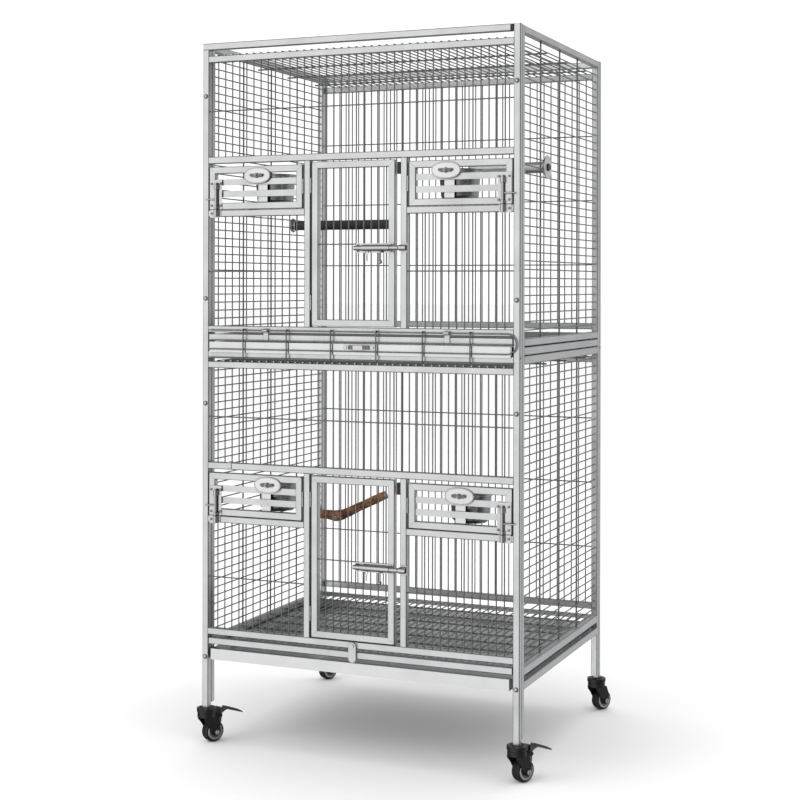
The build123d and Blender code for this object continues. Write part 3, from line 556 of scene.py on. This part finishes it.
# casters: rim rings, hub caps, axle nuts, stem collar
DX, DY = 0.5, 0.8660254
for corner, (bx, by) in {"front_left": (-392, -322), "front_right": (392, -322), "rear_left": (-392, 322),
                         "rear_right": (392, 322)}.items():
    ax = (bx + DX * 17.0, by + DY * 17.0, 25.0)
    nrm = Vector((DY, -DX, 0))
    ring = bag(f"{corner}_wheel_rings", f"{corner}_caster_wheel", RIM, "tread")
    nuts = bag(f"{corner}_axle_nuts", f"{corner}_caster_fork", FITTING, "fittings")
    for sgn in (1, -1):
        d = nrm * sgn
        p = Vector(ax) + d * 11.9
        ring.add(*closed_lathe([(14.6, 0), (14.8, 0.7), (15.6, 1.0), (18.6, 0.8), (19.2, 0.1), (19.2, 0)], 48), frame_at(p, d))
        hexa = [(6.8 * math.cos(math.radians(60 * i)), 6.8 * math.sin(math.radians(60 * i))) for i in range(6)]
        nuts.add(*prism(hexa, 4.3, 0.5), frame_at(Vector(ax) + d * 18.3, d))
        nuts.add(*lathe([(0, 2.6), (1.6, 2.4), (3.0, 1.6), (3.9, 0.0)], 24), frame_at(Vector(ax) + d * 22.5, d))
    for k in range(26):
        # moulded ribs between the rim and the hub, on the front side of the wheel
        a = 2 * math.pi * k / 26
        for sgn in (1, -1):
            d = nrm * sgn
            m = frame_at(Vector(ax) + d * 11.9, d)
            c, s_ = math.cos(a), math.sin(a)
            rib = [(9.0, -0.5), (14.2, -0.5), (14.2, 0.5), (9.0, 0.5)]
            pts = [(x * c - y * s_, x * s_ + y * c) for x, y in rib]
            ring.add(*prism(pts, 0.6, 0.15), m)
    # a dark steel ring at the ball race, and a dark ring on top of the swivel housing that is painted shade standing
    # for the bearing groove
    coll = bag(f"{corner}_ball_race_groove_shade", f"{corner}_caster_fork", DARK_STEEL, "fittings")
    coll.add(*closed_lathe([(20.2, 0), (21.6, 0.2), (21.9, 0.9), (21.6, 1.6), (20.2, 1.8)], 48), frame_at((bx, by, 72.9), (0, 0, 1)))
    coll.add(*closed_lathe([(16.4, 0), (19.4, 0), (19.8, 0.4), (19.2, 1.0), (16.6, 1.0)], 48), frame_at((bx, by, 82.9), (0, 0, 1)))
    for k in range(8):
        # rivets round the top of the swivel housing
        a = 2 * math.pi * (k + 0.5) / 8
        nuts.add(*lathe([(0, 0.8), (0.9, 0.7), (1.5, 0.0)], 12), frame_at((bx + 21.3 * math.cos(a), by + 21.3 * math.sin(a), 82.9), (0, 0, 1)))
    if corner.startswith("front"):
        # rubber face of the brake pedal and the spring on its pin
        pd = bag(f"{corner}_pedal_tread", f"{corner}_brake_pedal", BLACK, "black_plastic")
        t = Vector((DX, DY, 0))
        for k in range(5):
            x0 = 58.0 + k * 7.0
            z0 = 78.5 - (x0 - 50.0) * 16.0 / 42.0
            c = Vector((bx, by, 0)) + t * x0 + Vector((0, 0, z0 + 0.05))
            along = (t * 42.0 + Vector((0, 0, -16.0))).normalized()
            up = nrm.cross(along)
            if up.z < 0:
                up = -up
            pd.add(*prism([(-1.4, -9.0), (1.4, -9.0), (1.4, 9.0), (-1.4, 9.0)], 0.9, 0.25), frame_at(c - up * 0.1, up, along))
        sp = bag(f"{corner}_brake_spring", f"{corner}_caster_fork", FITTING, "fittings")
        for off in (10.6, -11.3):
            c = Vector((bx, by, 62.0)) + t * 31.0 + nrm * off
            sp.add(*closed_lathe([(2.0, 0), (4.2, 0), (4.2, 0.7), (2.0, 0.7)], 24), frame_at(c, nrm))


# smooth domed heads of the assembly bolts
dome = Bag()
for z in (1549.0, 1065.0, 814.0, 207.0):
    for sx in (-1, 1):
        for sy in (-1, 1):
            dome.add(*lathe([(0, 4.0), (1.6, 3.9), (3.0, 3.4), (4.3, 2.6), (5.2, 1.6), (5.7, 0.6), (5.8, 0.02), (0, 0.02)], 36),
                     frame_at((sx * 392.0, sy * 330.0, z), (0, sy, 0)))
bags["bolt_domes"] = (dome, "cage", FITTING, "fittings")


def flush():
    for name, (b, body, mat, slot) in bags.items():
        me = bpy.data.meshes.new(name)
        me.from_pydata([tuple(v * MM) for v in b.v], [], b.f)
        me.validate()
        bm = bmesh.new()
        bm.from_mesh(me)
        bmesh.ops.recalc_face_normals(bm, faces=bm.faces)
        bm.to_mesh(me)
        bm.free()
        me.materials.append(mat)
        for poly in me.polygons:
            poly.use_smooth = True
        me.set_sharp_from_angle(angle=math.radians(38))
        o = bpy.data.objects.new(name, me)
        bpy.context.scene.collection.objects.link(o)
        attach(o, body)
        if name == "bolt_domes":
            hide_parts("assembly_bolts")


flush()


# ------------------------------------------------------------- branch perch
def branch():
    route = [Vector((-386.4, 275, 468.0)), Vector((-356, 275.0, 467.6)), Vector((-330, 275.2, 466.0)),
             Vector((-306, 274.8, 472.0)), Vector((-262, 275.3, 493.0)), Vector((-220, 275.0, 513.5)),
             Vector((-182, 275.0, 531.0))]
    pts = []
    for i in range(len(route) - 1):
        p0 = route[max(i - 1, 0)]
        p1, p2 = route[i], route[i + 1]
        p3 = route[min(i + 2, len(route) - 1)]
        for k in range(14):
            t = k / 14
            pts.append(0.5 * ((2 * p1) + (p2 - p0) * t + (2 * p0 - 5 * p1 + 4 * p2 - p3) * t * t
                              + (3 * p1 - p0 - 3 * p2 + p3) * t ** 3))
    pts.append(route[-1])
    seg, verts, faces = 40, [], []
    up = Vector((0, 1, 0))
    n = len(pts)
    knots = [(0.14, 0.6, 1.6), (0.37, 3.6, 2.4), (0.42, 1.9, 2.0), (0.66, 1.2, 1.8), (0.83, 5.0, 2.0)]
    for i, p in enumerate(pts):
        t = (pts[min(i + 1, n - 1)] - pts[max(i - 1, 0)]).normalized()
        if i == 0:
            t = Vector((1, 0, 0))
        up = (up - t * up.dot(t)).normalized()
        side = t.cross(up)
        f = i / (n - 1)
        base = 11.0 + 3.4 * math.exp(-((f - 0.36) / 0.17) ** 2) + 0.8 * (1 - f)
        for k in range(seg):
            a = 2 * math.pi * k / seg
            d = up * math.cos(a) + side * math.sin(a)
            r = base
            r += 0.75 * noise.noise(Vector((p.x * 0.03, math.cos(a) * 1.2, math.sin(a) * 1.2)))
            r += 0.45 * noise.noise(Vector((p.x * 0.11, math.cos(a) * 3, math.sin(a) * 3 + 9)))
            for kf, ka, kh in knots:
                da = math.atan2(math.sin(a - ka), math.cos(a - ka))
                r += kh * math.exp(-((f - kf) * 14) ** 2 - (da * 1.9) ** 2) * 0.5
            verts.append(tuple((p + d * min(r, base + 1.6)) * MM))
    for i in range(n - 1):
        for k in range(seg):
            l = (k + 1) % seg
            faces.append((i * seg + k, i * seg + l, (i + 1) * seg + l, (i + 1) * seg + k))
    for ring_i, back in ((0, True), (n - 1, False)):
        # cut end, closed flat with an inner ring
        c0 = len(verts)
        centre = pts[ring_i] * MM
        loop = [ring_i * seg + k for k in range(seg)]
        inner = [tuple(Vector(verts[v]) * 0.15 + Vector(verts[v]) * 0.0 + centre * 0.85) for v in loop]
        verts.extend(inner)
        verts.append(tuple(centre))
        for k in range(seg):
            l = (k + 1) % seg
            q1 = (loop[k], c0 + k, c0 + l, loop[l])
            q2 = (c0 + k, c0 + seg, c0 + l)
            faces.append(q1 if back else q1[::-1])
            faces.append(q2 if back else q2[::-1])
    me = bpy.data.meshes.new("branch")
    me.from_pydata(verts, [], faces)
    me.validate()
    bm = bmesh.new()
    bm.from_mesh(me)
    bmesh.ops.recalc_face_normals(bm, faces=bm.faces)
    bm.to_mesh(me)
    bm.free()
    me.materials.append(BARK)
    me.materials.append(CUT_WOOD)
    body_faces = (n - 1) * seg
    for i, poly in enumerate(me.polygons):
        poly.use_smooth = True
        poly.material_index = 0 if i < body_faces else 1
    me.set_sharp_from_angle(angle=math.radians(50))
    o = bpy.data.objects.new("branch", me)
    bpy.context.scene.collection.objects.link(o)
    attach(o, "cage")
    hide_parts("branch_perch")


branch()

# --------------------------------------------------------------- floor, light
me = bpy.data.meshes.new("floor")
me.from_pydata([(-80, -80, 0), (80, -80, 0), (80, 80, 0), (-80, 80, 0)], [], [(0, 1, 2, 3)])
floor = bpy.data.objects.new("floor", me)
floor.location = (0, 0, 0)
bpy.context.scene.collection.objects.link(floor)
fm, fnt, fb = new_material("floor")
fb.inputs["Roughness"].default_value = 0.9
fb.inputs["Specular IOR Level"].default_value = 0.1
fb.inputs["Base Color"].default_value = (0.93, 0.93, 0.93, 1)
me.materials.append(fm)
floor.visible_glossy = False

world = bpy.data.worlds.new("studio")
bpy.context.scene.world = world
world.use_nodes = True
wn = world.node_tree
wn.nodes.clear()
wo = wn.nodes.new("ShaderNodeOutputWorld")
bg = wn.nodes.new("ShaderNodeBackground")
bg.inputs["Color"].default_value = (1, 1, 1, 1)
bg.inputs["Strength"].default_value = 1.1
gl = wn.nodes.new("ShaderNodeBackground")
tc = wn.nodes.new("ShaderNodeTexCoord")
dot = wn.nodes.new("ShaderNodeVectorMath")
dot.operation = "DOT_PRODUCT"
dot.inputs[1].default_value = Vector((-0.42, -0.9, 0.08)).normalized()
wn.links.new(tc.outputs["Generated"], dot.inputs[0])
shade = ramp(wn, map_range(wn, dot.outputs["Value"], -1, 1, 0, 1),
             [(0.0, (0.5, 0.505, 0.51)), (0.14, (0.4, 0.405, 0.41)), (0.3, (0.13, 0.132, 0.135)), (0.55, (0.1, 0.1, 0.103)),
              (0.78, (0.22, 0.22, 0.225)), (0.92, (0.7, 0.7, 0.705)), (1.0, (0.95, 0.95, 0.95))])
wn.links.new(shade, gl.inputs["Color"])
gl.inputs["Strength"].default_value = 1.0
lp = wn.nodes.new("ShaderNodeLightPath")
mix = wn.nodes.new("ShaderNodeMixShader")
wn.links.new(lp.outputs["Is Glossy Ray"], mix.inputs["Fac"])
wn.links.new(bg.outputs[0], mix.inputs[1])
wn.links.new(gl.outputs[0], mix.inputs[2])
wn.links.new(mix.outputs[0], wo.inputs["Surface"])


def area(name, loc, target, size, power):
    d = bpy.data.lights.new(name, "AREA")
    d.shape = "SQUARE"
    d.size = size
    d.energy = power
    o = bpy.data.objects.new(name, d)
    o.location = loc
    o.rotation_euler = (Vector(target) - Vector(loc)).to_track_quat("-Z", "Y").to_euler()
    o.visible_glossy = False
    bpy.context.scene.collection.objects.link(o)


area("key", (-2.6, -3.6, 3.6), (0, 0, 0.8), 2.4, 45.0)
area("top", (0.4, 0.2, 4.2), (0, 0, 0.8), 3.0, 30.0)
